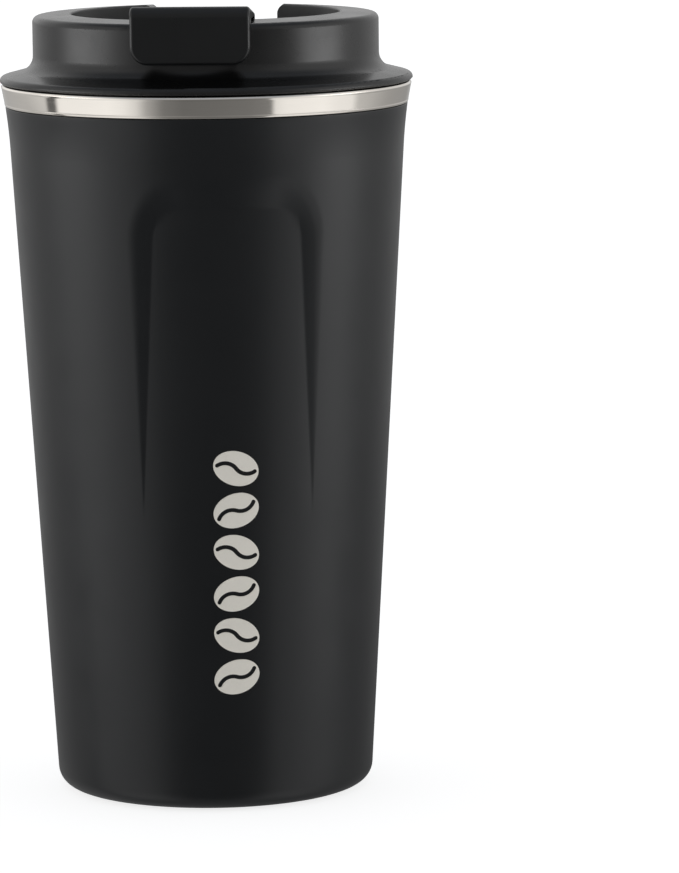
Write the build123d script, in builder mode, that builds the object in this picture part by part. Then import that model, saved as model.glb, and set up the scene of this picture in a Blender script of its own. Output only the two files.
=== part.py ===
from build123d import *
import math
import os

# Insulated travel mug: a double-walled steel cup with a screw-in lid and a flip-over drinking flap.
# Origin at the centre of the base, +Z up.  The flap faces -Y, and its hinge runs along X.

# ---------------------------------------------------------------- driving dimensions (mm, degrees)
# Cup body
BASE_RADIUS = 34.7            # wall radius if the taper ran down to the floor
SHOULDER_RADIUS = 43.4
SHOULDER_HEIGHT = 146.0
BAND_BOTTOM = 151.35          # the bare steel band runs from here to the mouth
MOUTH_HEIGHT = 156.15
SHELL_TOP_RADIUS = 44.1
BAND_BOTTOM_RADIUS = 44.25
BAND_TOP_RADIUS = 45.05
BASE_CORNER = 4.2
SHEET = 0.5                   # steel sheet of the shell and the liner
SHELL_LIFT = 0.3              # the shell stands clear of the floor on its pad

# Flutes pressed into the shell for the grip
CUP_TURN = 10.8               # azimuth of the front flute from -Y towards +X
FLUTE_DEPTH = 1.2
FLUTE_FADE = 66.0             # the flute runs out into the wall here
FLUTE_FLOOR_TOP = 132.0
FLUTE_TOP = 137.4
FLUTE_HALF_WIDTH = 18.3       # to the middle of the step at its side
FLUTE_STEP = 4.2              # width of the sloping step
FLUTE_CORNER = 6.0

# Base closure
LIP_RADIUS = 29.4             # opening in the bottom of the shell
PAD_RADIUS = 29.2
PLATE_RADIUS = 30.4
GETTER_OFFSET = 14.0

# Liner and mouth
LINER_FLOOR = 8.6             # inside floor of the cup
LINER_BASE_RADIUS = 31.2
LINER_BASE_CORNER = 6.0
LINER_NECK_FOOT = 137.0
LINER_SHOULDER_RADIUS = 39.0
NECK_FOOT = 139.5
NECK_RADIUS = 40.3
FOIL_GAP = 0.05
FOIL = 0.15

# Screw thread between the cup and the lid
THREAD_LEAD = 12.0
THREAD_STARTS = 3
THREAD_CREST = 0.9            # axial width at the crest
THREAD_ROOT = 1.9             # axial width at the root
THREAD_SINK = 0.15            # how far a ridge is rooted in its wall
CUP_RIDGE_RADIUS = 39.3
CUP_RIDGE_START = 141.6
CUP_RIDGE_ARC = 190.0
LID_RIDGE_RADIUS = 39.9
LID_RIDGE_START = 143.6
LID_RIDGE_ARC = 100.0

# Lid
PLUG_RADIUS = 38.9
PLUG_WALL = 1.8
PLUG_BOTTOM = 138.0
PLUG_FLOOR = 2.0
SHELF_BOTTOM = 149.4
SHELF_TOP = 151.0
GROOVE_RADIUS = 37.3
SPIGOT_INNER = 34.3
SPIGOT_RADIUS = 35.85
SPIGOT_TOP = 159.5
FLANGE_BOTTOM = 156.45
FLANGE_RADIUS = 45.25
FLANGE_EDGE_TOP = 157.75
FLANGE_SLOPE_TOP = 159.65
FLANGE_EDGE_ROUND = 1.15
FLANGE_BEVEL = 0.35
RIM_FOOT_ROUND = 3.5
RIM_RADIUS = 37.9
RIM_TOP = 171.45              # at the inner edge, from where the top face falls outwards
RIM_FALL = 0.5
RIM_INNER_RADIUS = 29.4
RIM_OUTER_ROUND = 1.4
RIM_INNER_ROUND = 0.4
RECESS_FLOOR = 163.5
LID_WALL = 2.0
NOTCH_HALF_WIDTH = 13.8
NOTCH_CORNER = 2.2

# Drinking slot and its channel through the lid
SLOT_RADIUS = 33.1
SLOT_WIDTH = 4.6
SLOT_HALF_ANGLE = 11.0
CHANNEL_WALL = 0.9

# Flap and hinge
HINGE_HEIGHT = 167.2
KNUCKLE_RADIUS = 2.3
KNUCKLE_HALF_WIDTH = 8.0
EAR_GAP = 0.3
EAR_THICKNESS = 2.2
PIN_RADIUS = 1.0
PIN_CLEARANCE = 0.06
TAB_HALF_WIDTH = 12.8
TAB_FRONT = 39.9
TAB_BOTTOM = 162.5
TAB_TOP = 174.85
TAB_TOP_ROUND = 2.2
TAB_CORNER = 3.8
TAB_EDGE = 0.8
TAB_CLEARANCE = 0.4           # between the tab and the rim behind it
SADDLE_BOTTOM = 172.1
FLAP_SLOPE = 8.3
FLAP_THICKNESS = 2.2
WAIST_HALF_WIDTH = 11.0

# Seal, stopper and vent
SEAL_INNER = 37.6
SEAL_BODY = 39.3
SEAL_LIP = 40.0
SEAL_BOTTOM = 151.4
SEAL_TOP = 156.0
STOPPER_BOTTOM = 168.6
STOPPER_CLEARANCE = 0.35
STOPPER_TAPER = 6.0
VENT_Y = -15.0
VENT_HOLE = 1.5
VENT_HEAD = 4.0

# Emblem: a column of coffee beans
EMBLEM_TURN = 12.6
EMBLEM_BOTTOM = 26.5
EMBLEM_TOP = 79.7
BEAN_COUNT = 6
BEAN_LENGTH = 10.0
BEAN_HEIGHT = 7.4
BEAN_TILT = 18.0
BEAN_SLIT = 0.9
BEAN_SWAY = 0.55              # how far the slit bows to each side
EMBLEM_RELIEF = 0.35


# ---------------------------------------------------------------- shared geometry
def wall_radius(z):
    """Outer radius of the tapered body at height z."""
    return BASE_RADIUS + (SHOULDER_RADIUS - BASE_RADIUS) * z / SHOULDER_HEIGHT


def flute_depth(z):
    """Depth of the flute floor under the body surface, negative below the point where it fades."""
    return FLUTE_DEPTH * (z - FLUTE_FADE) / (FLUTE_FLOOR_TOP - FLUTE_FADE)


def flute_floor_radius(z):
    """Radius of the flute floor at height z."""
    return wall_radius(z) - flute_depth(z)


def liner_radius(z):
    """Inner radius of the liner's tapered wall at height z."""
    share = (z - LINER_FLOOR) / (LINER_NECK_FOOT - LINER_FLOOR)
    return LINER_BASE_RADIUS + (LINER_SHOULDER_RADIUS - LINER_BASE_RADIUS) * share


def nearest_vertex(section, point):
    """The corner of a sketch that lies nearest to a point in the sketch's own plane."""
    return section.vertices().sort_by_distance(point)[0]


def on_side_plane(edge, half_width):
    """Whether an edge lies in one of the two planes x = half_width and x = -half_width."""
    box = edge.bounding_box()
    flat = box.max.X - box.min.X < 0.001
    return flat and abs(abs(edge.center().X) - half_width) < 0.001


def turned_form(points, corner=None, corner_radius=0.0):
    """Solid of revolution about Z from (radius, height) points, with one rounded corner."""
    with BuildPart() as form:
        with BuildSketch(Plane.XZ) as section:
            with BuildLine():
                Polyline(*points, close=True)
            make_face()
            if corner is not None:
                fillet(nearest_vertex(section, corner), corner_radius)
        revolve(axis=Axis.Z)
    return form.part


def flute_outline(z, inset):
    """Horizontal section of a flute's side walls, as the corner points of a closed polygon."""
    middle = math.asin(FLUTE_HALF_WIDTH / wall_radius(z))
    lean = middle - math.atan(FLUTE_DEPTH / FLUTE_STEP)
    radius = wall_radius(z) - flute_depth(z) / 2
    x = radius * math.sin(middle) - inset * math.sin(lean)
    y = -radius * math.cos(middle) + inset * math.cos(lean)
    outward, inward, behind, far = 16.0, 11.0, 6.0, 60.0
    outer = (x + outward * math.cos(lean), y + outward * math.sin(lean))
    inner = (x - inward * math.cos(lean), y - inward * math.sin(lean))
    centre = (0.0, behind - flute_floor_radius(z))
    left = [(-inner[0], inner[1]), (-outer[0], outer[1]), (-far, -far)]
    return [(far, -far), outer, inner, centre] + left


def flute_cutter(inset):
    """Tool that presses one flute towards -Y, moved inwards by inset for the wall's inner face."""
    low, far = FLUTE_FADE - 6.0, 60.0
    top_run = (wall_radius(FLUTE_TOP) - flute_floor_radius(FLUTE_FLOOR_TOP)) * 3
    top_rise = (FLUTE_TOP - FLUTE_FLOOR_TOP) * 3
    floor_end = flute_floor_radius(FLUTE_FLOOR_TOP) - inset
    high = FLUTE_FLOOR_TOP + top_rise
    with BuildPart() as cutter:
        with BuildSketch(Plane.XZ):
            with BuildLine():
                Polyline(
                    (flute_floor_radius(low) - inset, low),
                    (floor_end, FLUTE_FLOOR_TOP),
                    (floor_end + top_run, high),
                    (far, high),
                    (far, low),
                    close=True,
                )
            make_face()
        revolve(axis=Axis.Z)
        with BuildPart(mode=Mode.PRIVATE) as wedge:
            for z in (low - 1.0, high + 1.0):
                with BuildSketch(Plane.XY.offset(z)):
                    with BuildLine():
                        Polyline(*flute_outline(z, inset), close=True)
                    make_face()
            loft(ruled=True)
        add(wedge.part, mode=Mode.INTERSECT)
        half_angle = math.asin(FLUTE_HALF_WIDTH / floor_end)
        corner_z = FLUTE_FLOOR_TOP + 2.0
        for side in (-1, 1):
            near = (side * FLUTE_HALF_WIDTH, -floor_end * math.cos(half_angle), corner_z)
            upper = cutter.edges().filter_by(lambda edge: edge.center().Z > FLUTE_FLOOR_TOP + 1.0)
            fillet(upper.sort_by_distance(near)[0], FLUTE_CORNER)
    return cutter.part


def thread_ridge(root_radius, crest_radius, arc):
    """One start of the screw thread from angle 0 to arc, rooted in the wall at root_radius."""
    outward = 1 if crest_radius > root_radius else -1
    rooted = root_radius - outward * THREAD_SINK
    height = abs(crest_radius - rooted)
    with BuildPart() as ridge:
        with BuildLine() as path:
            Helix(pitch=THREAD_LEAD, height=THREAD_LEAD * arc / 360, radius=rooted)
        with BuildSketch(Plane(origin=path.line @ 0, x_dir=(1, 0, 0), z_dir=path.line % 0)):
            with BuildLine():
                Polyline(
                    (0, -THREAD_ROOT / 2),
                    (outward * height, -THREAD_CREST / 2),
                    (outward * height, THREAD_CREST / 2),
                    (0, THREAD_ROOT / 2),
                    close=True,
                )
            make_face()
        sweep(is_frenet=True)
    return ridge.part


def cap_arc(radius, base, rise):
    """Arc of a spherical cap, from its edge at (radius, base) to its crown on the axis."""
    sphere = (radius**2 + rise**2) / (2 * rise)
    middle = base + rise - sphere + math.sqrt(sphere**2 - (radius / 2) ** 2)
    return ThreePointArc((radius, base), (radius / 2, middle), (0, base + rise))


def slot_sketch(plane, width):
    """Kidney-shaped outline over the front rim, width across, on a horizontal plane."""
    with BuildSketch(plane) as slot:
        with BuildLine() as spine:
            CenterArc((0, 0), SLOT_RADIUS, 270 - SLOT_HALF_ANGLE, 2 * SLOT_HALF_ANGLE)
        SlotArc(spine.wires()[0], width)
    return slot.sketch


def bean_outline():
    """One coffee bean: an oval with an S-shaped slit."""
    reach = BEAN_LENGTH / 2 - BEAN_SLIT
    with BuildSketch() as outline:
        Ellipse(BEAN_LENGTH / 2, BEAN_HEIGHT / 2)
        for side in (-1, 1):
            with BuildLine() as slit:
                ThreePointArc((0, 0), (side * reach / 2, -side * BEAN_SWAY), (side * reach, side * BEAN_SWAY))
            SlotArc(slit.wires()[0], BEAN_SLIT, mode=Mode.SUBTRACT)
    return outline.sketch


os.makedirs("parts", exist_ok=True)

# ---------------------------------------------------------------- cup: shell, base and liner
OUTER_CORNER = (wall_radius(SHELL_LIFT), SHELL_LIFT)
outer_form = turned_form(
    [
        (0, SHELL_LIFT),
        OUTER_CORNER,
        (SHOULDER_RADIUS, SHOULDER_HEIGHT),
        (SHELL_TOP_RADIUS, BAND_BOTTOM),
        (0, BAND_BOTTOM),
    ],
    OUTER_CORNER,
    BASE_CORNER,
)
INNER_CORNER = (wall_radius(SHELL_LIFT) - SHEET, SHELL_LIFT + SHEET)
inner_form = turned_form(
    [
        (0, SHELL_LIFT + SHEET),
        INNER_CORNER,
        (SHOULDER_RADIUS - SHEET, SHOULDER_HEIGHT),
        (SHELL_TOP_RADIUS - SHEET, BAND_BOTTOM),
        (0, BAND_BOTTOM),
    ],
    INNER_CORNER,
    BASE_CORNER - SHEET,
)
outer_flute = flute_cutter(0.0)
inner_flute = flute_cutter(SHEET)

with BuildPart() as shell_space:
    add(inner_form)
    for turn in (CUP_TURN, CUP_TURN + 180):
        add(inner_flute.rotate(Axis.Z, turn), mode=Mode.SUBTRACT)

with BuildPart() as outer_shell:
    add(outer_form)
    for turn in (CUP_TURN, CUP_TURN + 180):
        add(outer_flute.rotate(Axis.Z, turn), mode=Mode.SUBTRACT)
    add(shell_space.part, mode=Mode.SUBTRACT)
    Cylinder(LIP_RADIUS, 4, mode=Mode.SUBTRACT)

# The plate closes the shell's bottom, with the evacuation hole in its middle.
PLATE_BOTTOM = SHELL_LIFT + SHEET
PLATE_TOP = PLATE_BOTTOM + SHEET
EVACUATION_HOLE = 0.8
with BuildPart() as outer_base:
    with BuildSketch(Plane.XY.offset(PLATE_BOTTOM)):
        Circle(PLATE_RADIUS)
        Circle(EVACUATION_HOLE, mode=Mode.SUBTRACT)
    extrude(amount=SHEET)

BEAD_RADIUS = 2.4
BEAD_RISE = 1.0
with BuildPart() as vacuum_seal:
    with BuildSketch(Plane.XZ):
        with BuildLine():
            cap_arc(BEAD_RADIUS, PLATE_TOP, BEAD_RISE)
            Polyline(
                (0, PLATE_TOP + BEAD_RISE),
                (0, PLATE_BOTTOM),
                (EVACUATION_HOLE, PLATE_BOTTOM),
                (EVACUATION_HOLE, PLATE_TOP),
                (BEAD_RADIUS, PLATE_TOP),
            )
        make_face()
    revolve(axis=Axis.Z)

# A thin tray welded to the plate holds the getter pellet that keeps the vacuum.
TRAY_RADIUS = 3.7
TRAY_SHEET = 0.3
TRAY_HEIGHT = 1.5
with BuildPart() as getter_tray:
    with BuildSketch(Plane.XY.offset(PLATE_TOP)):
        with Locations((GETTER_OFFSET, 0)):
            Circle(TRAY_RADIUS)
    extrude(amount=TRAY_HEIGHT)
    with BuildSketch(Plane.XY.offset(PLATE_TOP + TRAY_SHEET)):
        with Locations((GETTER_OFFSET, 0)):
            Circle(TRAY_RADIUS - TRAY_SHEET)
    extrude(amount=TRAY_HEIGHT, mode=Mode.SUBTRACT)

with BuildPart() as getter:
    with BuildSketch(Plane.XY.offset(PLATE_TOP + TRAY_SHEET)):
        with Locations((GETTER_OFFSET, 0)):
            Circle(TRAY_RADIUS - TRAY_SHEET)
    extrude(amount=TRAY_HEIGHT)
    fillet(getter.edges().group_by(Axis.Z)[-1], 0.3)

# Silicone pad under the base, a ring of grip dimples in its lower face.
PAD_DIMPLE = 1.6
PAD_DIMPLE_DEPTH = 0.35
with BuildPart() as base_pad:
    with BuildSketch(Plane.XY):
        Circle(PAD_RADIUS)
    extrude(amount=PLATE_BOTTOM)
    fillet(base_pad.edges().group_by(Axis.Z)[0], 0.25)
    for ring_radius, count in ((12.0, 8), (22.0, 16)):
        with BuildSketch(Plane.XY):
            with PolarLocations(ring_radius, count):
                Circle(PAD_DIMPLE)
        extrude(amount=PAD_DIMPLE_DEPTH, mode=Mode.SUBTRACT)

# The liner: a tapered cup, a plain neck, and three starts of an inward thread.
LINER_CORNER = (LINER_BASE_RADIUS, LINER_FLOOR)
liner_inside = turned_form(
    [
        (0, LINER_FLOOR),
        LINER_CORNER,
        (LINER_SHOULDER_RADIUS, LINER_NECK_FOOT),
        (NECK_RADIUS, NECK_FOOT),
        (NECK_RADIUS, MOUTH_HEIGHT),
        (0, MOUTH_HEIGHT),
    ],
    LINER_CORNER,
    LINER_BASE_CORNER,
)
LINER_OUTER_CORNER = (LINER_BASE_RADIUS + SHEET, LINER_FLOOR - SHEET)
liner_outside = turned_form(
    [
        (0, LINER_FLOOR - SHEET),
        LINER_OUTER_CORNER,
        (LINER_SHOULDER_RADIUS + SHEET, LINER_NECK_FOOT),
        (NECK_RADIUS + SHEET, NECK_FOOT),
        (NECK_RADIUS + SHEET, MOUTH_HEIGHT),
        (0, MOUTH_HEIGHT),
    ],
    LINER_OUTER_CORNER,
    LINER_BASE_CORNER + SHEET,
)
cup_ridge = thread_ridge(NECK_RADIUS, CUP_RIDGE_RADIUS, CUP_RIDGE_ARC)
with BuildPart() as inner_liner:
    add(liner_outside)
    add(liner_inside, mode=Mode.SUBTRACT)
    for start in range(THREAD_STARTS):
        with Locations(Location((0, 0, CUP_RIDGE_START), (0, 0, start * 360 / THREAD_STARTS))):
            add(cup_ridge)

# Copper foil round the liner, which turns heat back across the vacuum.
FOIL_BOTTOM, FOIL_TOP = 18.0, 128.0
foil_radii = [liner_radius(z) + SHEET + FOIL_GAP for z in (FOIL_BOTTOM, FOIL_TOP)]
with BuildPart() as liner_foil:
    with BuildSketch(Plane.XZ):
        with BuildLine():
            Polyline(
                (foil_radii[0], FOIL_BOTTOM),
                (foil_radii[0] + FOIL, FOIL_BOTTOM),
                (foil_radii[1] + FOIL, FOIL_TOP),
                (foil_radii[1], FOIL_TOP),
                close=True,
            )
        make_face()
    revolve(axis=Axis.Z)

# The mouth band welds the shell to the neck of the liner, and is the bare steel that shows.
BAND_FOOT = 149.0
BAND_EDGE = 0.4
with BuildPart() as mouth_band:
    with BuildSketch(Plane.XZ) as band_section:
        with BuildLine():
            Polyline(
                (NECK_RADIUS + SHEET, BAND_FOOT),
                (NECK_RADIUS + 2 * SHEET, BAND_FOOT),
                (NECK_RADIUS + 2 * SHEET, BAND_BOTTOM),
                (BAND_BOTTOM_RADIUS, BAND_BOTTOM),
                (BAND_TOP_RADIUS, MOUTH_HEIGHT),
                (NECK_RADIUS + SHEET, MOUTH_HEIGHT),
                close=True,
            )
        make_face()
        fillet(nearest_vertex(band_section, (BAND_TOP_RADIUS, MOUTH_HEIGHT)), BAND_EDGE)
    revolve(axis=Axis.Z)

# The emblem: beans with a curved slit, following the taper of the body.
bean = bean_outline()
BEAN_PITCH = (EMBLEM_TOP - EMBLEM_BOTTOM - BEAN_HEIGHT) / (BEAN_COUNT - 1)
EMBLEM_LOW, EMBLEM_HIGH = EMBLEM_BOTTOM - 2.0, EMBLEM_TOP + 2.0
emblem_front = Plane(
    origin=(0, 0, 0),
    x_dir=(math.cos(math.radians(EMBLEM_TURN)), math.sin(math.radians(EMBLEM_TURN)), 0),
    z_dir=(math.sin(math.radians(EMBLEM_TURN)), -math.cos(math.radians(EMBLEM_TURN)), 0),
)
with BuildPart() as emblem:
    with BuildSketch(Plane.XZ):
        with BuildLine():
            Polyline(
                (wall_radius(EMBLEM_LOW), EMBLEM_LOW),
                (wall_radius(FLUTE_FADE), FLUTE_FADE),
                (flute_floor_radius(EMBLEM_HIGH), EMBLEM_HIGH),
                (flute_floor_radius(EMBLEM_HIGH) + EMBLEM_RELIEF, EMBLEM_HIGH),
                (wall_radius(FLUTE_FADE) + EMBLEM_RELIEF, FLUTE_FADE),
                (wall_radius(EMBLEM_LOW) + EMBLEM_RELIEF, EMBLEM_LOW),
                close=True,
            )
        make_face()
    revolve(axis=Axis.Z)
    with BuildSketch(emblem_front) as beans:
        for index in range(BEAN_COUNT):
            tilt = BEAN_TILT if index % 2 == 0 else -BEAN_TILT
            height = EMBLEM_BOTTOM + BEAN_HEIGHT / 2 + index * BEAN_PITCH
            with Locations(Location((0, height, 0), (0, 0, tilt))):
                add(bean)
    extrude(beans.sketch, amount=60, mode=Mode.INTERSECT)

# ---------------------------------------------------------------- lid: plug, top, seal and insulation
lid_ridge = thread_ridge(PLUG_RADIUS, LID_RIDGE_RADIUS, LID_RIDGE_ARC)
channel_outside = slot_sketch(Plane.XY.offset(PLUG_BOTTOM), SLOT_WIDTH + 2 * CHANNEL_WALL)
channel_clearance = slot_sketch(Plane.XY.offset(PLUG_BOTTOM), SLOT_WIDTH + 2 * CHANNEL_WALL + 0.1)
with BuildPart() as lid_plug:
    with BuildSketch(Plane.XZ):
        with BuildLine():
            Polyline(
                (0, PLUG_BOTTOM),
                (PLUG_RADIUS, PLUG_BOTTOM),
                (PLUG_RADIUS, SHELF_TOP),
                (GROOVE_RADIUS, SHELF_TOP),
                (GROOVE_RADIUS, FLANGE_BOTTOM),
                (SPIGOT_RADIUS, FLANGE_BOTTOM),
                (SPIGOT_RADIUS, SPIGOT_TOP),
                (SPIGOT_INNER, SPIGOT_TOP),
                (SPIGOT_INNER, SHELF_BOTTOM),
                (PLUG_RADIUS - PLUG_WALL, SHELF_BOTTOM),
                (PLUG_RADIUS - PLUG_WALL, PLUG_BOTTOM + PLUG_FLOOR),
                (0, PLUG_BOTTOM + PLUG_FLOOR),
                close=True,
            )
        make_face()
    revolve(axis=Axis.Z)
    for start in range(THREAD_STARTS):
        with Locations(Location((0, 0, LID_RIDGE_START), (0, 0, start * 360 / THREAD_STARTS))):
            add(lid_ridge)
    extrude(channel_clearance, amount=SPIGOT_TOP - PLUG_BOTTOM, mode=Mode.SUBTRACT)
    with BuildSketch(Plane.XY.offset(PLUG_BOTTOM)):
        with Locations((0, VENT_Y)):
            Circle(VENT_HOLE)
    extrude(amount=PLUG_FLOOR, mode=Mode.SUBTRACT)

# Closed-cell foam disc inside the lid.
FOAM_RADIUS = 34.0
FOAM_THICKNESS = 10.0
FOAM_VENT = 2.5
FOAM_TOP = RECESS_FLOOR - LID_WALL
FOAM_BOTTOM = FOAM_TOP - FOAM_THICKNESS
foam_channel = slot_sketch(Plane.XY.offset(FOAM_BOTTOM), SLOT_WIDTH + 2 * CHANNEL_WALL + 0.6)
with BuildPart() as lid_insulation:
    with BuildSketch(Plane.XY.offset(FOAM_BOTTOM)):
        Circle(FOAM_RADIUS)
    extrude(amount=FOAM_THICKNESS)
    extrude(foam_channel, amount=FOAM_THICKNESS, mode=Mode.SUBTRACT)
    with BuildSketch(Plane.XY.offset(FOAM_BOTTOM)):
        with Locations((0, VENT_Y)):
            Circle(FOAM_VENT)
    extrude(amount=FOAM_THICKNESS, mode=Mode.SUBTRACT)

# Lid top: flange, raised rim, recess, notch for the folded flap, and the hinge ears.
EAR_FOOT = 2.6
with BuildPart() as lid_top:
    with BuildSketch(Plane.XZ) as lid_section:
        with BuildLine():
            Polyline(
                (0, RECESS_FLOOR - LID_WALL),
                (RIM_INNER_RADIUS + LID_WALL, RECESS_FLOOR - LID_WALL),
                (RIM_INNER_RADIUS + LID_WALL, RIM_TOP - LID_WALL),
                (RIM_RADIUS - LID_WALL, RIM_TOP - RIM_FALL - LID_WALL),
                (RIM_RADIUS - LID_WALL, FLANGE_BOTTOM),
                (FLANGE_RADIUS - FLANGE_BEVEL, FLANGE_BOTTOM),
                (FLANGE_RADIUS, FLANGE_BOTTOM + FLANGE_BEVEL),
                (FLANGE_RADIUS, FLANGE_EDGE_TOP),
                (RIM_RADIUS, FLANGE_SLOPE_TOP),
                (RIM_RADIUS, RIM_TOP - RIM_FALL),
                (RIM_INNER_RADIUS, RIM_TOP),
                (RIM_INNER_RADIUS, RECESS_FLOOR),
                (0, RECESS_FLOOR),
                close=True,
            )
        make_face()
        rounds = (
            ((FLANGE_RADIUS, FLANGE_EDGE_TOP), FLANGE_EDGE_ROUND),
            ((RIM_RADIUS, FLANGE_SLOPE_TOP), RIM_FOOT_ROUND),
            ((RIM_RADIUS, RIM_TOP - RIM_FALL), RIM_OUTER_ROUND),
            ((RIM_INNER_RADIUS, RIM_TOP), RIM_INNER_ROUND),
            ((RIM_INNER_RADIUS, RECESS_FLOOR), 1.0),
        )
        for corner, size in rounds:
            fillet(nearest_vertex(lid_section, corner), size)
    revolve(axis=Axis.Z)
    # Solid block round the notch, so that the cut leaves closed cheeks and a floor.
    with BuildSketch(Plane.XY.offset(RECESS_FLOOR - LID_WALL)):
        Circle(RIM_RADIUS - LID_WALL / 2)
        Circle(RIM_INNER_RADIUS + LID_WALL / 2, mode=Mode.SUBTRACT)
        with Locations((0, RIM_RADIUS / 2 + 5)):
            Rectangle(2 * (NOTCH_HALF_WIDTH + LID_WALL), RIM_RADIUS + 10, mode=Mode.INTERSECT)
    extrude(amount=RIM_TOP - RECESS_FLOOR)
    with BuildSketch(Plane.XZ.offset(-RIM_RADIUS - 10)):
        with BuildLine():
            for side in (-1, 1):
                cheek = side * NOTCH_HALF_WIDTH
                brink = side * (NOTCH_HALF_WIDTH + NOTCH_CORNER)
                Line((cheek, RECESS_FLOOR), (cheek, RIM_TOP - NOTCH_CORNER))
                TangentArc((cheek, RIM_TOP - NOTCH_CORNER), (brink, RIM_TOP), tangent=(0, 1))
                Line((brink, RIM_TOP), (brink, RIM_TOP + 1))
            Line((-NOTCH_HALF_WIDTH, RECESS_FLOOR), (NOTCH_HALF_WIDTH, RECESS_FLOOR))
            Line((-brink, RIM_TOP + 1), (brink, RIM_TOP + 1))
        make_face()
    extrude(amount=RIM_RADIUS - 10, mode=Mode.SUBTRACT)
    # Drinking channel: walls down through the plug, open from the crown of the rim.
    extrude(channel_outside, amount=RIM_TOP - LID_WALL / 2 - PLUG_BOTTOM)
    slot_cut = slot_sketch(Plane.XY.offset(PLUG_BOTTOM - 1), SLOT_WIDTH)
    extrude(slot_cut, amount=RIM_TOP - PLUG_BOTTOM + 2, mode=Mode.SUBTRACT)
    # Hinge ears.
    for side in (-1, 1):
        ear_x = side * (KNUCKLE_HALF_WIDTH + EAR_GAP + EAR_THICKNESS / 2)
        with BuildSketch(Plane.YZ.offset(ear_x)):
            with Locations((0, HINGE_HEIGHT)):
                Circle(KNUCKLE_RADIUS)
            with BuildLine():
                Polyline(
                    (-KNUCKLE_RADIUS, HINGE_HEIGHT),
                    (KNUCKLE_RADIUS, HINGE_HEIGHT),
                    (KNUCKLE_RADIUS + EAR_FOOT / 2, RECESS_FLOOR),
                    (-KNUCKLE_RADIUS - EAR_FOOT / 2, RECESS_FLOOR),
                    close=True,
                )
            make_face()
        extrude(amount=EAR_THICKNESS / 2, both=True)
    with BuildSketch(Plane.YZ):
        with Locations((0, HINGE_HEIGHT)):
            Circle(PIN_RADIUS)
    extrude(amount=2 * KNUCKLE_HALF_WIDTH, both=True, mode=Mode.SUBTRACT)
    # Vent hole under the flap.
    with BuildSketch(Plane.XY.offset(RECESS_FLOOR - LID_WALL)):
        with Locations((0, VENT_Y)):
            Circle(VENT_HOLE)
    extrude(amount=LID_WALL, mode=Mode.SUBTRACT)

with BuildPart() as lid_seal:
    with BuildSketch(Plane.XZ):
        with BuildLine():
            Polyline(
                (SEAL_INNER, SEAL_BOTTOM),
                (SEAL_BODY, SEAL_BOTTOM),
                (SEAL_LIP, SEAL_BOTTOM + 0.9),
                (SEAL_LIP, SEAL_BOTTOM + 1.2),
                (SEAL_BODY, SEAL_BOTTOM + 1.6),
                (SEAL_BODY, SEAL_BOTTOM + 2.3),
                (SEAL_LIP, SEAL_BOTTOM + 3.2),
                (SEAL_LIP, SEAL_BOTTOM + 3.5),
                (SEAL_BODY, SEAL_TOP),
                (SEAL_INNER, SEAL_TOP),
                close=True,
            )
        make_face()
    revolve(axis=Axis.Z)

# Umbrella valve that lets air in while the user drinks.
VENT_STEM_END = RECESS_FLOOR - LID_WALL - 1.2
with BuildPart() as vent_valve:
    with BuildSketch(Plane.XZ.offset(-VENT_Y)):
        with BuildLine():
            Polyline(
                (0, VENT_STEM_END),
                (1.9, VENT_STEM_END),
                (1.9, RECESS_FLOOR - LID_WALL),
                (VENT_HOLE, RECESS_FLOOR - LID_WALL),
                (VENT_HOLE, RECESS_FLOOR),
                (VENT_HEAD, RECESS_FLOOR),
                (VENT_HEAD, RECESS_FLOOR + 0.4),
            )
            cap_arc(VENT_HEAD, RECESS_FLOOR + 0.4, 0.7)
            Line((0, RECESS_FLOOR + 1.1), (0, VENT_STEM_END))
        make_face()
    revolve(axis=Axis((0, VENT_Y, 0), (0, 0, 1)))

# ---------------------------------------------------------------- flap, its stopper and pin
def flap_top(y):
    """Height of the flap's upper face at y, which falls from the tab's top edge to the hinge."""
    return TAB_TOP - math.tan(math.radians(FLAP_SLOPE)) * (y + TAB_FRONT - TAB_TOP_ROUND)


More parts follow.
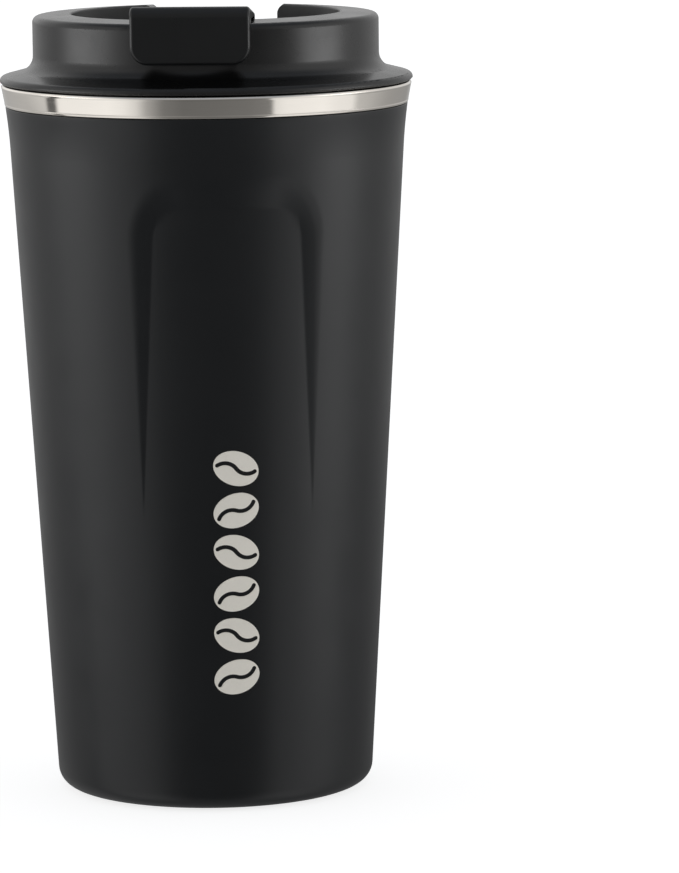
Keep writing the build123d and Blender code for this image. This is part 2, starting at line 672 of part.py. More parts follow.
RIM_CLEAR_Y = -27.0           # where the underside has climbed over the inner edge of the rim
STEP_Y = -25.6
TAB_BACK = RIM_RADIUS + TAB_CLEARANCE
with BuildPart() as flap:
    with BuildSketch(Plane.YZ) as flap_section:
        with BuildLine():
            Polyline(
                (-TAB_FRONT, TAB_BOTTOM),
                (-TAB_FRONT, flap_top(-TAB_FRONT)),
                (0, flap_top(0)),
                (0, HINGE_HEIGHT - KNUCKLE_RADIUS + 0.6),
                (-4.0, flap_top(-4.0) - FLAP_THICKNESS),
                (STEP_Y, flap_top(STEP_Y) - FLAP_THICKNESS),
                (RIM_CLEAR_Y, SADDLE_BOTTOM),
                (-30.0, SADDLE_BOTTOM),
                (-30.0, TAB_BOTTOM),
                close=True,
            )
        make_face()
        fillet(nearest_vertex(flap_section, (-TAB_FRONT, TAB_TOP)), TAB_TOP_ROUND)
    extrude(amount=TAB_HALF_WIDTH, both=True)
    # The back of the tab and the saddle follow the rim.
    with BuildSketch(Plane.XY.offset(TAB_BOTTOM - 1)):
        Circle(TAB_BACK)
    extrude(amount=SADDLE_BOTTOM - TAB_BOTTOM + 1, mode=Mode.SUBTRACT)
    # Give back the plate behind the rim, narrower than the tab and narrowest between the ears.
    with BuildSketch(Plane.YZ):
        with BuildLine():
            Polyline(
                (RIM_CLEAR_Y, SADDLE_BOTTOM),
                (RIM_CLEAR_Y, flap_top(RIM_CLEAR_Y)),
                (0, flap_top(0)),
                (0, HINGE_HEIGHT - 1.0),
                (-4.0, flap_top(-4.0) - FLAP_THICKNESS),
                (STEP_Y, flap_top(STEP_Y) - FLAP_THICKNESS),
                close=True,
            )
        make_face()
    extrude(amount=TAB_HALF_WIDTH, both=True)
    fillet(flap.edges().filter_by(Axis.Y).group_by(Axis.Z)[0], TAB_CORNER)
    with BuildSketch(Plane.XY.offset(HINGE_HEIGHT - 5)):
        for side in (-1, 1):
            with BuildLine():
                Polyline(
                    (side * KNUCKLE_HALF_WIDTH, 6.0),
                    (side * KNUCKLE_HALF_WIDTH, -4.2),
                    (side * WAIST_HALF_WIDTH, -7.0),
                    (side * WAIST_HALF_WIDTH, -20.0),
                    (side * TAB_HALF_WIDTH, -25.0),
                    (side * 16.0, -25.0),
                    (side * 16.0, 6.0),
                    close=True,
                )
            make_face()
    extrude(amount=12, mode=Mode.SUBTRACT)
    # Soften the edge all round the tab's front and along its top.
    front_edges = [edge for edge in flap.edges() if edge.bounding_box().max.Y < 0.001 - TAB_FRONT]
    side_edges = [edge for edge in flap.edges() if on_side_plane(edge, TAB_HALF_WIDTH)]
    top_edges = [edge for edge in side_edges if edge.center().Z > TAB_TOP - TAB_TOP_ROUND]
    fillet(front_edges + top_edges, TAB_EDGE)
    with BuildSketch(Plane.YZ):
        with Locations((0, HINGE_HEIGHT)):
            Circle(KNUCKLE_RADIUS)
    extrude(amount=KNUCKLE_HALF_WIDTH, both=True)
    with BuildSketch(Plane.YZ):
        with Locations((0, HINGE_HEIGHT)):
            Circle(PIN_RADIUS + PIN_CLEARANCE)
    extrude(amount=TAB_HALF_WIDTH, both=True, mode=Mode.SUBTRACT)

# Silicone stopper under the saddle, tapered into the drinking slot.
STOPPER_WIDTH = SLOT_WIDTH - 2 * STOPPER_CLEARANCE
stopper_outline = slot_sketch(Plane.XY.offset(SADDLE_BOTTOM), STOPPER_WIDTH)
with BuildPart() as flap_stopper:
    add(stopper_outline)
    extrude(amount=SADDLE_BOTTOM - STOPPER_BOTTOM, dir=(0, 0, -1), taper=STOPPER_TAPER)

with BuildPart() as hinge_pin:
    with BuildSketch(Plane.YZ):
        with Locations((0, HINGE_HEIGHT)):
            Circle(PIN_RADIUS)
    extrude(amount=KNUCKLE_HALF_WIDTH + EAR_GAP + EAR_THICKNESS, both=True)
    chamfer(hinge_pin.edges().filter_by(GeomType.CIRCLE), 0.25)

# ---------------------------------------------------------------- labels and files
pieces = {
    "outer_shell": outer_shell,
    "outer_base": outer_base,
    "vacuum_seal": vacuum_seal,
    "getter_tray": getter_tray,
    "getter": getter,
    "base_pad": base_pad,
    "inner_liner": inner_liner,
    "liner_foil": liner_foil,
    "mouth_band": mouth_band,
    "emblem": emblem,
    "lid_plug": lid_plug,
    "lid_insulation": lid_insulation,
    "lid_top": lid_top,
    "lid_seal": lid_seal,
    "vent_valve": vent_valve,
    "flap": flap,
    "flap_stopper": flap_stopper,
    "hinge_pin": hinge_pin,
}
for name, piece in pieces.items():
    piece.part.label = name
    export_step(piece.part, f"parts/{name}.step")
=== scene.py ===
"""Looks of the insulated travel mug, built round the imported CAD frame.  All lengths are metres."""

import math

import bmesh
import bpy
from mathutils import Matrix, Vector


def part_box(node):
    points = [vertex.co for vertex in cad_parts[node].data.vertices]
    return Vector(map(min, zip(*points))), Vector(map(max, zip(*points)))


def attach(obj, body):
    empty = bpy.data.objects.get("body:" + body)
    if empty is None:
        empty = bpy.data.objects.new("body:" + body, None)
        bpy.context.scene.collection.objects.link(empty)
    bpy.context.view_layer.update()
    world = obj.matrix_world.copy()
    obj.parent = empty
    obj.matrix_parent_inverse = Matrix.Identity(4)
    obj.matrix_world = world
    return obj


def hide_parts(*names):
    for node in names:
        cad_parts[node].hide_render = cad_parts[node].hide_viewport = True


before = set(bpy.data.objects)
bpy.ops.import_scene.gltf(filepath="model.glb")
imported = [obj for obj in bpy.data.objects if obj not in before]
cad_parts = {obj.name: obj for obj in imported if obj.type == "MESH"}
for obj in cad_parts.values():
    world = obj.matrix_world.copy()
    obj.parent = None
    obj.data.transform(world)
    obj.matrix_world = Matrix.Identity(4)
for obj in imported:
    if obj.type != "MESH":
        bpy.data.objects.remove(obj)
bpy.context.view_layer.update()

MM = 0.001
SEGMENTS = 288                     # round the axis, on a turned piece without flutes
RECESS_RADIUS = 29.4 * MM          # of the round recess in the top of the lid
RECESS_FLOOR = 163.5 * MM


# ---------------------------------------------------------------- mesh helpers
ARC_STEP = math.radians(9)         # between the points on a rounded corner
FEWEST_STEPS = 4


def rounded_outline(corners):
    """Closed outline from (x, y, radius) corners, each rounded by a short run of points."""
    outline = []
    count = len(corners)
    for index, (x, y, radius) in enumerate(corners):
        here = Vector((x, y))
        if radius <= 0:
            outline.append(here)
            continue
        before = (Vector(corners[index - 1][:2]) - here).normalized()
        after = (Vector(corners[(index + 1) % count][:2]) - here).normalized()
        half = before.angle(after) / 2
        reach = radius / math.tan(half)
        centre = here + (before + after).normalized() * (radius / math.sin(half))
        start = here + before * reach - centre
        end = here + after * reach - centre
        turn = start.angle_signed(end)
        steps = max(FEWEST_STEPS, round(abs(turn) / ARC_STEP))
        for step in range(steps + 1):
            outline.append(centre + Matrix.Rotation(-turn * step / steps, 2) @ start)
    return outline


def smooth_by_angle(mesh, degrees):
    """Smooth shading with sharp edges where faces meet at more than this angle."""
    edit = bmesh.new()
    edit.from_mesh(mesh)
    limit = math.radians(degrees)
    for face in edit.faces:
        face.smooth = True
    for edge in edit.edges:
        edge.smooth = len(edge.link_faces) == 2 and edge.calc_face_angle() < limit
    edit.to_mesh(mesh)
    edit.free()


def finish_piece(name, edit, material, body, replaced, angle):
    """Turns an edit mesh into a piece that rides on a body and stands for CAD nodes."""
    bmesh.ops.recalc_face_normals(edit, faces=edit.faces)
    mesh = bpy.data.meshes.new(name)
    edit.to_mesh(mesh)
    edit.free()
    smooth_by_angle(mesh, angle)
    piece = bpy.data.objects.new(name, mesh)
    bpy.context.scene.collection.objects.link(piece)
    mesh.materials.append(material)
    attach(piece, body)
    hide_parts(*replaced)


def turned_mesh(outline, azimuths=None, change=None):
    """Edit mesh of a closed (radius, height) outline turned about Z.

    change(radius, azimuth, height) may give another radius at each point.
    """
    if azimuths is None:
        azimuths = [2 * math.pi * step / SEGMENTS for step in range(SEGMENTS)]
    edit = bmesh.new()
    rings = []
    for azimuth in azimuths:
        ring = []
        for radius, height in outline:
            r = change(radius, azimuth, height) if change else radius
            ring.append(edit.verts.new((r * math.sin(azimuth), -r * math.cos(azimuth), height)))
        rings.append(ring)
    for index, ring in enumerate(rings):
        following = rings[(index + 1) % len(rings)]
        for step in range(len(ring)):
            nxt = (step + 1) % len(ring)
            edit.faces.new((ring[step], following[step], following[nxt], ring[nxt]))
    return edit


# ---------------------------------------------------------------- material helpers
def mixed_colour(nodes, links, factor, first, second):
    """Socket of a colour between two, each a colour or the socket that gives one."""
    mix = nodes.new("ShaderNodeMix")
    mix.data_type = "RGBA"
    links.new(factor, mix.inputs["Factor"])
    for name, colour in (("A", first), ("B", second)):
        if isinstance(colour, tuple):
            mix.inputs[name].default_value = (*colour, 1)
        else:
            links.new(colour, mix.inputs[name])
    return mix.outputs["Result"]


class Finish:
    """A node material with a Principled shader and short ways to add detail to it."""

    def __init__(self, name, colour, metallic=0.0, roughness=0.5):
        self.material = bpy.data.materials.new(name)
        self.material.use_nodes = True
        self.nodes = self.material.node_tree.nodes
        self.links = self.material.node_tree.links
        self.shader = self.nodes["Principled BSDF"]
        self.shader.inputs["Base Color"].default_value = (*colour, 1)
        self.shader.inputs["Metallic"].default_value = metallic
        self.shader.inputs["Roughness"].default_value = roughness
        self.place = self.nodes.new("ShaderNodeTexCoord").outputs["Object"]

    def noise(self, scale, detail, stretch=(1, 1, 1)):
        """Noise in object space, scale in cells per metre."""
        mapping = self.nodes.new("ShaderNodeMapping")
        mapping.inputs["Scale"].default_value = stretch
        self.links.new(self.place, mapping.inputs["Vector"])
        texture = self.nodes.new("ShaderNodeTexNoise")
        texture.inputs["Scale"].default_value = scale
        texture.inputs["Detail"].default_value = detail
        self.links.new(mapping.outputs["Vector"], texture.inputs["Vector"])
        return texture.outputs["Fac"]

    def ranged(self, value, low, high, start=0.3, end=0.7):
        """value, mapped from start..end to low..high."""
        node = self.nodes.new("ShaderNodeMapRange")
        node.inputs["From Min"].default_value = start
        node.inputs["From Max"].default_value = end
        node.inputs["To Min"].default_value = low
        node.inputs["To Max"].default_value = high
        self.links.new(value, node.inputs["Value"])
        return node.outputs["Result"]

    def distance_from_axis(self):
        flat = self.nodes.new("ShaderNodeVectorMath")
        flat.operation = "MULTIPLY"
        flat.inputs[1].default_value = (1, 1, 0)
        self.links.new(self.place, flat.inputs[0])
        length = self.nodes.new("ShaderNodeVectorMath")
        length.operation = "LENGTH"
        self.links.new(flat.outputs["Vector"], length.inputs[0])
        return length.outputs["Value"]

    def height(self):
        split = self.nodes.new("ShaderNodeSeparateXYZ")
        self.links.new(self.place, split.inputs["Vector"])
        return split.outputs["Z"]

    def multiply(self, first, second):
        node = self.nodes.new("ShaderNodeMath")
        node.operation = "MULTIPLY"
        self.links.new(first, node.inputs[0])
        self.links.new(second, node.inputs[1])
        return node.outputs[0]

    def blended(self, factor, first, second):
        """A number between two others."""
        mix = self.nodes.new("ShaderNodeMix")
        self.links.new(factor, mix.inputs["Factor"])
        self.links.new(first, mix.inputs["A"])
        self.links.new(second, mix.inputs["B"])
        return mix.outputs["Result"]

    def roughness(self, value):
        self.links.new(value, self.shader.inputs["Roughness"])

    def colours(self, factor, first, second):
        """Base colour between two, each a colour or the socket that gives one."""
        colour = mixed_colour(self.nodes, self.links, factor, first, second)
        self.links.new(colour, self.shader.inputs["Base Color"])

    def bump(self, height, depth, strength):
        """Relief depth metres deep."""
        node = self.nodes.new("ShaderNodeBump")
        node.inputs["Strength"].default_value = strength
        node.inputs["Distance"].default_value = depth
        self.links.new(height, node.inputs["Height"])
        self.links.new(node.outputs["Normal"], self.shader.inputs["Normal"])

    def source(self, name):
        """The socket that feeds an input of the shader."""
        return self.shader.inputs[name].links[0].from_socket


# ---------------------------------------------------------------- materials
def powder_coat():
    """Satin black powder coat: a fine orange peel, with slight changes of gloss over the wall."""
    finish = Finish("body_coat", (0.0042, 0.0048, 0.0056), roughness=0.33)
    finish.roughness(finish.ranged(finish.noise(90, 3), 0.3, 0.36))
    finish.colours(finish.noise(1800, 2), (0.0036, 0.0043, 0.0052), (0.005, 0.0058, 0.0068))
    finish.bump(finish.noise(2600, 2), 0.01 * MM, 0.35)
    return finish.material


def moulded_plastic(name, dark, light, low, high):
    """Moulded plastic with a fine spark-eroded grain."""
    finish = Finish(name, dark, roughness=(low + high) / 2)
    finish.roughness(finish.ranged(finish.noise(120, 3), low, high))
    finish.colours(finish.noise(700, 2), dark, light)
    finish.bump(finish.noise(3200, 2), 0.008 * MM, 0.3)
    return finish


def lid_moulding():
    """Satin outside, and a coarser grain inside the recess in the top of the lid, with painted light
    there: a paler colour that stands in for the light the recess reflects.
    """
    dark, light = (0.0036, 0.0036, 0.0037), (0.0046, 0.0046, 0.0047)
    # Painted light: the recess gets these pale colours in place of the dark lid colour. They stand in for
    # the light reflected inside it.
    painted_lit_recess_dark, painted_lit_recess_pale = (0.055, 0.055, 0.055), (0.08, 0.08, 0.08)
    finish = moulded_plastic("lid_plastic", dark, light, 0.24, 0.29)
    wall_inner, wall_outer = RECESS_RADIUS - 0.1 * MM, RECESS_RADIUS + 0.25 * MM
    under_floor, at_floor = RECESS_FLOOR - 1 * MM, RECESS_FLOOR - 0.5 * MM
    inside = finish.multiply(
        finish.ranged(finish.distance_from_axis(), 1, 0, wall_inner, wall_outer),
        finish.ranged(finish.height(), 0, 1, under_floor, at_floor),
    )
    grain = finish.noise(1400, 3)
    painted_lit_recess_colour = mixed_colour(finish.nodes, finish.links, grain, painted_lit_recess_dark, painted_lit_recess_pale)
    recess_roughness = finish.ranged(grain, 0.4, 0.5)
    # Painted light inside the recess: the pale colour is mixed in there. The rougher grain beside it is
    # real.
    finish.colours(inside, finish.source("Base Color"), painted_lit_recess_colour)
    finish.roughness(finish.blended(inside, finish.source("Roughness"), recess_roughness))
    return finish.material


def brushed_steel(name, dark, light, low, high, stretch=(1, 1, 60), depth=0.004 * MM):
    """Steel with fine lines: stretch is largest across the lines."""
    finish = Finish(name, light, metallic=1.0, roughness=(low + high) / 2)
    lines = finish.noise(120, 4, stretch)
    finish.roughness(finish.ranged(lines, low, high))
    finish.colours(lines, dark, light)
    finish.bump(lines, depth, 0.4)
    return finish.material


def etched_steel():
    """Frosted steel of the emblem, which scatters light almost like paint."""
    finish = Finish("bean_steel", (0.82, 0.79, 0.72), metallic=0.4, roughness=0.6)
    grain = finish.noise(2500, 3)
    finish.roughness(finish.ranged(grain, 0.52, 0.68))
    finish.colours(grain, (0.78, 0.75, 0.68), (0.86, 0.83, 0.76))
    finish.bump(grain, 0.01 * MM, 0.5)
    return finish.material


def silicone(name, dark, light, roughness):
    """Matt silicone rubber."""
    finish = Finish(name, dark, roughness=roughness)
    finish.roughness(finish.ranged(finish.noise(400, 3), roughness - 0.06, roughness + 0.06))
    finish.colours(finish.noise(150, 3), dark, light)
    finish.bump(finish.noise(1500, 2), 0.01 * MM, 0.3)
    return finish.material


def foam():
    """Closed-cell foam: a surface of small pits."""
    finish = Finish("lid_foam", (0.8, 0.79, 0.74), roughness=0.9)
    cells = finish.noise(900, 4)
    finish.colours(cells, (0.66, 0.65, 0.6), (0.82, 0.81, 0.76))
    finish.roughness(finish.ranged(cells, 0.85, 0.95))
    finish.bump(cells, 0.2 * MM, 0.8)
    return finish.material


coat = powder_coat()
lid_plastic = lid_moulding()
flap_plastic = moulded_plastic(
    "flap_plastic", (0.0042, 0.0046, 0.0048), (0.0052, 0.0056, 0.006), 0.27, 0.34).material
band_steel = brushed_steel(
    "band_steel", (0.93, 0.88, 0.81), (0.99, 0.94, 0.87), 0.06, 0.11, depth=0.002 * MM)
sheet_steel = brushed_steel("sheet_steel", (0.56, 0.55, 0.53), (0.64, 0.63, 0.61), 0.24, 0.36)
bean_steel = etched_steel()
copper = brushed_steel("copper_foil", (0.7, 0.34, 0.21), (0.8, 0.42, 0.27), 0.18, 0.3)
solder = brushed_steel("solder", (0.48, 0.48, 0.5), (0.6, 0.6, 0.61), 0.35, 0.5, (1, 1, 1))
powder = moulded_plastic("getter_powder", (0.04, 0.038, 0.036), (0.06, 0.057, 0.055), 0.8, 0.95).material
black_silicone = silicone("black_silicone", (0.01, 0.01, 0.01), (0.015, 0.015, 0.015), 0.6)
clear_silicone = silicone("clear_silicone", (0.56, 0.57, 0.57), (0.64, 0.65, 0.65), 0.45)
foam_white = foam()

FINISHES = {
    "outer_base": sheet_steel,
    "vacuum_seal": solder,
    "getter_tray": sheet_steel,
    "getter": powder,
    "base_pad": black_silicone,
    "inner_liner": sheet_steel,
    "liner_foil": copper,
    "mouth_band": band_steel,
    "outer_shell": coat,
    "emblem": bean_steel,
    "lid_plug": lid_plastic,
    "lid_insulation": foam_white,
    "lid_top": lid_plastic,
    "lid_seal": clear_silicone,
    "vent_valve": clear_silicone,
    "flap": flap_plastic,
    "flap_stopper": black_silicone,
    "hinge_pin": sheet_steel,
}
for node_name, node_material in FINISHES.items():
    node_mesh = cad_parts[node_name].data
    node_mesh.materials.clear()
    node_mesh.materials.append(node_material)

# ---------------------------------------------------------------- the body with its flutes
CUP_TURN = math.radians(10.8)      # azimuth of the front flute, from -Y towards +X
FLUTE_DEPTH = 1.2 * MM
FLUTE_FADE = 66 * MM
FLUTE_FLOOR_TOP = 132 * MM
FLUTE_TOP = 137.4 * MM
FLUTE_HALF_WIDTH = 18.3 * MM
FLUTE_STEP = 4.2 * MM              # width of the sloping step at the flute's sides
FLUTE_CORNER = 7.5 * MM
FLUTE_DEEPEST = 1.06 * FLUTE_DEPTH
FLUTE_SOFT, FLUTE_CRISP = 0.3, 0.07      # rounding of the step's outer and inner edge, of its depth
SHEET = 0.5 * MM
BASE_RADIUS = 34.7 * MM
SHOULDER = (43.4 * MM, 146 * MM)
TOP_RADIUS = 44.1 * MM

shell_low, shell_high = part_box("outer_shell")


def wall_radius(height):
    return BASE_RADIUS + (SHOULDER[0] - BASE_RADIUS) * height / SHOULDER[1]


def smooth_least(a, b, blend):
    """The smaller of two values, with the corner between them rounded."""
    share = max(0.0, min(1.0, 0.5 + (b - a) / (2 * blend)))
    return b + (a - b) * share - blend * share * (1 - share)


def flute_turn(azimuth):
    """Azimuth from the middle of the nearer flute, from -90 to 90 degrees."""
    return (azimuth - CUP_TURN + math.pi / 2) % math.pi - math.pi / 2


def flute_depth(azimuth, height):
    """How far the flute is pressed in at this point of the wall."""
    floor = FLUTE_DEPTH * (height - FLUTE_FADE) / (FLUTE_FLOOR_TOP - FLUTE_FADE)
    floor = min(floor, FLUTE_DEEPEST)
    if floor <= 0:
        return 0.0
    across = abs(math.sin(flute_turn(azimuth))) * wall_radius(height) - FLUTE_HALF_WIDTH
    above = height - (FLUTE_FLOOR_TOP + FLUTE_TOP) / 2
    above *= FLUTE_STEP / (FLUTE_TOP - FLUTE_FLOOR_TOP)
    past = (across + FLUTE_CORNER, above + FLUTE_CORNER)
    outside = math.hypot(max(past[0], 0), max(past[1], 0)) + min(max(past), 0) - FLUTE_CORNER
    ramp = floor / 2 - outside * FLUTE_DEPTH / FLUTE_STEP
    pressed = smooth_least(ramp, floor, FLUTE_CRISP * floor)
    return max(0.0, -smooth_least(-pressed, 0.0, FLUTE_SOFT * floor))


def shell_azimuths():
    """Azimuths round the body, close together over the steps at the flutes' sides."""
    step_middle, step_half = math.radians(26.8), math.radians(5.5)
    fine, coarse = math.radians(0.3), math.radians(1.5)
    found = []
    azimuth = 0.0
    while azimuth < 2 * math.pi - coarse / 2:
        found.append(azimuth)
        near = abs(abs(flute_turn(azimuth)) - step_middle) < step_half
        azimuth += fine if near else coarse
    return found


def shell_heights():
    """Heights up the wall, close together over the step at the flutes' top."""
    fine, coarse = 0.35 * MM, 1.6 * MM
    heights = []
    height = 8 * MM
    while height < SHOULDER[1] - 1 * MM:
        heights.append(height)
        near = FLUTE_FLOOR_TOP - 6 * MM < height < FLUTE_TOP + 3 * MM
        height += fine if near else coarse
    return heights


def build_shell():
    lip_radius = 29.4 * MM         # the shell turns in under the base as far as this
    bottom = shell_low.z
    top = shell_high.z
    corner = 4.2 * MM
    flare = 110 * MM               # radius of the soft bend at the shoulder
    longest_gap = 20 * MM
    outline = rounded_outline([
        (lip_radius, bottom + SHEET, 0.0),
        (lip_radius, bottom, 0.1 * MM),
        (wall_radius(bottom), bottom, corner),
        (SHOULDER[0], SHOULDER[1], flare),
        (TOP_RADIUS, top, 0.2 * MM),
        (TOP_RADIUS - SHEET, top, 0.15 * MM),
        (SHOULDER[0] - SHEET, SHOULDER[1], flare),
        (wall_radius(bottom) - SHEET, bottom + SHEET, corner - SHEET),
    ])
    heights = shell_heights()
    dense = []
    for index, point in enumerate(outline):
        following = outline[(index + 1) % len(outline)]
        dense.append(point)
        if abs(following.y - point.y) > longest_gap:
            run = heights if following.y > point.y else heights[::-1]
            for height in run:
                share = (height - point.y) / (following.y - point.y)
                dense.append(point.lerp(following, share))

    def pressed(radius, azimuth, height):
        on_wall = radius > wall_radius(height) - 2 * SHEET
        return radius - flute_depth(azimuth, height) if on_wall else radius

    edit = turned_mesh(dense, shell_azimuths(), pressed)
    finish_piece("shell_wall", edit, coat, "cup", ["outer_shell"], 50)


build_shell()

# ---------------------------------------------------------------- the bare steel band at the mouth
band_low, band_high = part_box("mouth_band")


def build_band():
    """Ring with a rolled line along its upper and its lower edge."""
    neck = 40.8 * MM
    skirt = neck + 0.5 * MM        # the part that goes down inside the shell
    foot = shell_high.z
    line = foot + 0.12 * MM        # leaves a fine dark line over the shell
    roll = 0.22 * MM
    edge = 0.1 * MM
    low_radius = 44.25 * MM
    high_radius = band_high.x
    outline = rounded_outline([
        (neck, band_low.z, edge),
        (skirt, band_low.z, edge),
        (skirt, line, edge),
        (low_radius - 0.1 * MM, line, roll),
        (low_radius + 0.02 * MM, foot + 0.5 * MM, roll),
        (low_radius + 0.03 * MM, foot + 0.8 * MM, 0.5 * MM),
        (high_radius - 0.12 * MM, band_high.z - 0.9 * MM, 0.5 * MM),
        (high_radius, band_high.z - 0.5 * MM, roll),
        (high_radius - 0.3 * MM, band_high.z, 0.3 * MM),
        (neck, band_high.z, 0.2 * MM),
    ])
    edit = turned_mesh(outline)
    finish_piece("mouth_ring", edit, band_steel, "cup", ["mouth_band"], 40)


build_band()

# ---------------------------------------------------------------- studio: floor, surroundings and camera
FLOOR_REACH = 6.0
FLOOR_DROP = 0.02 * MM             # just under the mug, so that the two never share a plane
SHADE_DROP = 0.01 * MM
SHADE_REACH = 0.7
# How much of the table's brightness the painted shade leaves at each distance from the mug's axis.
SHADE_STOPS = ((0.08, 0.64), (0.42, 0.82), (0.6, 1.0))


def flat_object(name, edit, drop, material):
    """Flat object, drop metres under the mug."""
    mesh = bpy.data.meshes.new(name)
    edit.to_mesh(mesh)
    edit.free()
    mesh.materials.append(material)
    flat = bpy.data.objects.new(name, mesh)
    bpy.context.scene.collection.objects.link(flat)
    flat.location.z = -drop
    return flat


def build_floor():
    edit = bmesh.new()
    bmesh.ops.create_grid(edit, x_segments=2, y_segments=2, size=FLOOR_REACH)
    finish = Finish("floor_white", (0.5, 0.5, 0.5), roughness=0.9)
    finish.shader.inputs["Emission Color"].default_value = (1, 1, 1, 1)
    finish.shader.inputs["Emission Strength"].default_value = 0.8
    finish.colours(finish.noise(3, 2), (0.5, 0.5, 0.5), (0.48, 0.48, 0.48))
    floor = flat_object("floor", edit, FLOOR_DROP, finish.material)
    floor.visible_glossy = False


TARGET_HEIGHT = 0.08
CAMERA_DISTANCE = 1.2
CAMERA_AZIMUTH = math.radians(5.0)
CAMERA_ELEVATION = math.radians(7.9)
CAMERA_YAW = math.radians(1.353)   # the mug stands left of the middle of the picture
CAMERA_PITCH = math.radians(-0.136)
CAMERA_ROLL = math.radians(-0.8)
LENS = 223.7                       # millimetres, like the long side of the sensor
SENSOR = 36

# Brightness round the horizon as the mug sees it, by azimuth in degrees from the camera.
# The table's sheen lies lowest, the far part of the table above it, then the strip lights at
# both sides, and the backdrop over everything.
TABLE_SHEEN = (
    (-180, 0.4), (-150, 0.45), (-120, 0.56), (-106, 0.62), (-104, 0.12), (-98, 0.12), (-95.5, 0.98),
    (-84, 1.02), (-60, 1.12), (-50, 1.04), (-42, 0.84), (-36, 0.47), (-26, 0.22), (-14, 0.17), (6, 0.18),
    (24, 0.2), (38, 0.24), (40.5, 0.96), (48, 1.06), (72, 1.1), (82, 0.98), (93, 0.92), (98, 0.56),
    (116, 0.42), (140, 0.3), (180, 0.3),
)
FAR_TABLE = (
    (-180, 0.38), (-130, 0.44), (-104, 0.34), (-94, 0.36), (-70, 0.46), (-50, 0.6), (-42, 0.62),
    (-36, 0.46), (-26, 0.22), (0, 0.155), (24, 0.19), (36, 0.3), (42, 0.66), (60, 0.58), (80, 0.38),
    (100, 0.36), (124, 0.32), (180, 0.26),
)
STRIP_LIGHTS = (
    (-180, 0.44), (-140, 0.6), (-118, 0.62), (-108, 1.2), (-98, 3.7), (-76, 4.2), (-62, 1.6), (-50, 0.6),
    (-34, 0.15), (0, 0.11), (50, 0.13), (60, 0.7), (70, 4.0), (82, 5.2), (94, 4.0), (103, 1.2), (118, 0.7),
    (144, 0.55), (180, 0.44),
)
BACKDROP = (
    (-180, 0.76), (-150, 0.84), (-120, 0.76), (-100, 0.9), (-70, 1.0), (-50, 0.6), (-30, 0.3), (30, 0.3),
    (50, 0.6), (70, 1.0), (100, 0.9), (120, 0.6), (150, 0.62), (180, 0.76),
)
OVERHEAD = (0.34, 0.36, 0.39)
UNDERFOOT = (0.4, 0.4, 0.4)
# The elevations in degrees between which each layer takes over from the one below it.
LAYERS = ((-75, -50, TABLE_SHEEN), (-17, -12.5, FAR_TABLE), (-8.5, -4.5, STRIP_LIGHTS), (-1, 5, BACKDROP))
OVERHEAD_FROM, OVERHEAD_TO = 30, 55


class Surroundings:
    """The world shader: what the light on the mug comes from, by direction."""

    def __init__(self):
        self.world = bpy.data.worlds.new("studio")
        self.world.use_nodes = True
        self.nodes = self.world.node_tree.nodes
        self.links = self.world.node_tree.links
        self.nodes.clear()
        place = self.nodes.new("ShaderNodeTexCoord")
        split = self.nodes.new("ShaderNodeSeparateXYZ")
        self.links.new(place.outputs["Generated"], split.inputs["Vector"])
        self.rise = split.outputs["Z"]
        towards = self.calculate("MULTIPLY", split.outputs["Y"], -1.0)
        azimuth = self.calculate("ARCTAN2", split.outputs["X"], towards)
        azimuth = self.calculate("SUBTRACT", azimuth, CAMERA_AZIMUTH)
        self.azimuth = self.calculate("WRAP", azimuth, math.pi, -math.pi)

    def calculate(self, operation, *values):
        node = self.nodes.new("ShaderNodeMath")
        node.operation = operation
        for socket, value in zip(node.inputs, values):
            if isinstance(value, (int, float)):
                socket.default_value = value
            else:
                self.links.new(value, socket)
        return node.outputs[0]

    def horizon(self, stops):
        """Brightness by azimuth, from (degrees, brightness) stops."""
        share = self.calculate("MULTIPLY_ADD", self.azimuth, 1 / (2 * math.pi), 0.5)
        ramp = self.nodes.new("ShaderNodeValToRGB")
        self.links.new(share, ramp.inputs["Fac"])
        brightest = max(level for _, level in stops)
        elements = ramp.color_ramp.elements
        while len(elements) < len(stops):
            elements.new(0.5)
        for element, (degrees, level) in zip(elements, stops):
            element.position = (degrees + 180) / 360
            grey = level / brightest
            element.color = (grey, grey, grey, 1)
        scale = self.nodes.new("ShaderNodeVectorMath")
        scale.operation = "SCALE"
        scale.inputs["Scale"].default_value = brightest
        self.links.new(ramp.outputs["Color"], scale.inputs[0])
        return scale.outputs[0]

    def above(self, start, end, below_colour, above_colour):
        """Goes from one colour to another between two elevations in degrees."""
        share = self.nodes.new("ShaderNodeMapRange")
        share.interpolation_type = "SMOOTHSTEP"
        share.inputs["From Min"].default_value = math.sin(math.radians(start))
        share.inputs["From Max"].default_value = math.sin(math.radians(end))
        self.links.new(self.rise, share.inputs["Value"])
        return mixed_colour(self.nodes, self.links, share.outputs["Result"], below_colour, above_colour)


def build_surroundings():
    """Studio light on the mug, and plain white for the camera."""
    studio = Surroundings()
    light = UNDERFOOT
    for start, end, stops in LAYERS:
        light = studio.above(start, end, light, studio.horizon(stops))
    light = studio.above(OVERHEAD_FROM, OVERHEAD_TO, light, OVERHEAD)
    lighting = studio.nodes.new("ShaderNodeBackground")
    studio.links.new(light, lighting.inputs["Color"])
    shown = studio.nodes.new("ShaderNodeBackground")
    shown.inputs["Color"].default_value = (1, 1, 1, 1)
    path = studio.nodes.new("ShaderNodeLightPath")
    mix = studio.nodes.new("ShaderNodeMixShader")
    studio.links.new(path.outputs["Is Camera Ray"], mix.inputs["Fac"])
    studio.links.new(lighting.outputs[0], mix.inputs[1])
    studio.links.new(shown.outputs[0], mix.inputs[2])
    output = studio.nodes.new("ShaderNodeOutputWorld")
    studio.links.new(mix.outputs[0], output.inputs["Surface"])
    bpy.context.scene.world = studio.world


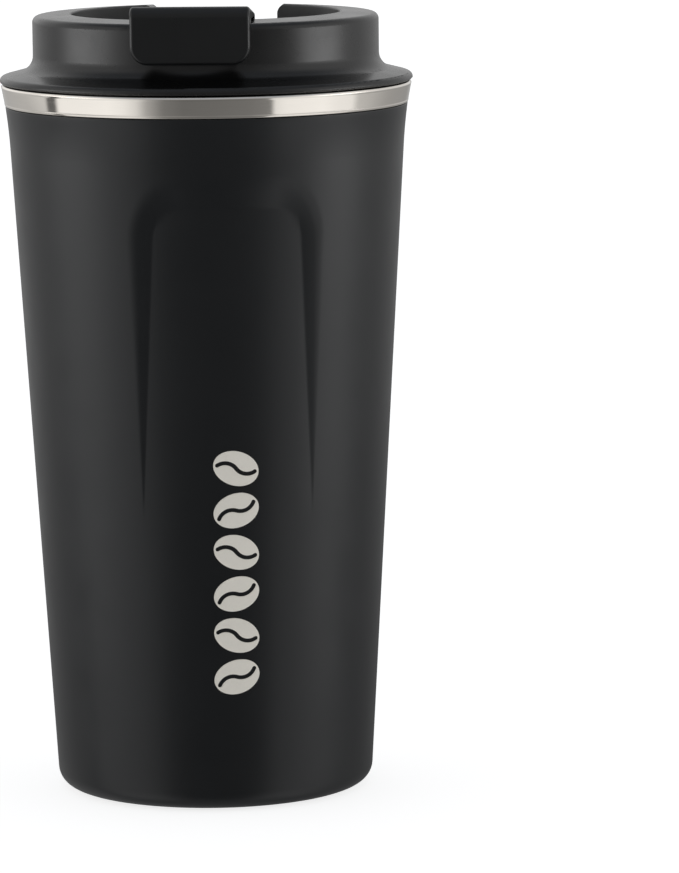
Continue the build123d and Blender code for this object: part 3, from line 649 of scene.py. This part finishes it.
def build_table_shade():
    """Painted shade on the table close to the mug, where the mug's own shade falls: a smoked disc that
    only reflections pass through, darker near the mug.
    """
    edit = bmesh.new()
    bmesh.ops.create_circle(edit, cap_ends=True, segments=96, radius=SHADE_REACH)
    material = bpy.data.materials.new("table_shade")
    material.use_nodes = True
    nodes, links = material.node_tree.nodes, material.node_tree.links
    nodes.clear()
    place = nodes.new("ShaderNodeTexCoord")
    length = nodes.new("ShaderNodeVectorMath")
    length.operation = "LENGTH"
    links.new(place.outputs["Object"], length.inputs[0])
    share = nodes.new("ShaderNodeMath")
    share.operation = "DIVIDE"
    share.inputs[1].default_value = SHADE_REACH
    links.new(length.outputs["Value"], share.inputs[0])
    # Painted shade: this ramp darkens reflections of the table near the mug.
    ramp = nodes.new("ShaderNodeValToRGB")
    links.new(share.outputs[0], ramp.inputs["Fac"])
    elements = ramp.color_ramp.elements
    elements.new(0.5)
    for element, (distance, level) in zip(elements, SHADE_STOPS):
        element.position = distance / SHADE_REACH
        element.color = (level, level, level, 1)
    glass = nodes.new("ShaderNodeBsdfTransparent")
    links.new(ramp.outputs["Color"], glass.inputs["Color"])
    output = nodes.new("ShaderNodeOutputMaterial")
    links.new(glass.outputs[0], output.inputs["Surface"])
    disc = flat_object("table_shade", edit, SHADE_DROP, material)
    disc.visible_camera = False
    disc.visible_diffuse = False
    disc.visible_shadow = False


def build_camera():
    target = Vector((0, 0, TARGET_HEIGHT))
    back = Vector((
        math.sin(CAMERA_AZIMUTH) * math.cos(CAMERA_ELEVATION),
        -math.cos(CAMERA_AZIMUTH) * math.cos(CAMERA_ELEVATION),
        math.sin(CAMERA_ELEVATION),
    ))
    data = bpy.data.cameras.new("camera")
    data.lens = LENS
    data.sensor_width = SENSOR
    data.clip_start = 0.05
    data.clip_end = 50
    camera = bpy.data.objects.new("camera", data)
    bpy.context.scene.collection.objects.link(camera)
    aim = (-back).to_track_quat("-Z", "Y")
    turn = Matrix.Rotation(-CAMERA_YAW, 3, "Y") @ Matrix.Rotation(CAMERA_PITCH, 3, "X")
    roll = Matrix.Rotation(CAMERA_ROLL, 3, "Z")
    camera.rotation_mode = "QUATERNION"
    camera.rotation_quaternion = (aim.to_matrix() @ turn @ roll).to_quaternion()
    camera.location = target + back * CAMERA_DISTANCE
    bpy.context.scene.camera = camera


build_floor()
build_table_shade()
build_surroundings()
build_camera()
bpy.context.scene.view_settings.view_transform = "Standard"
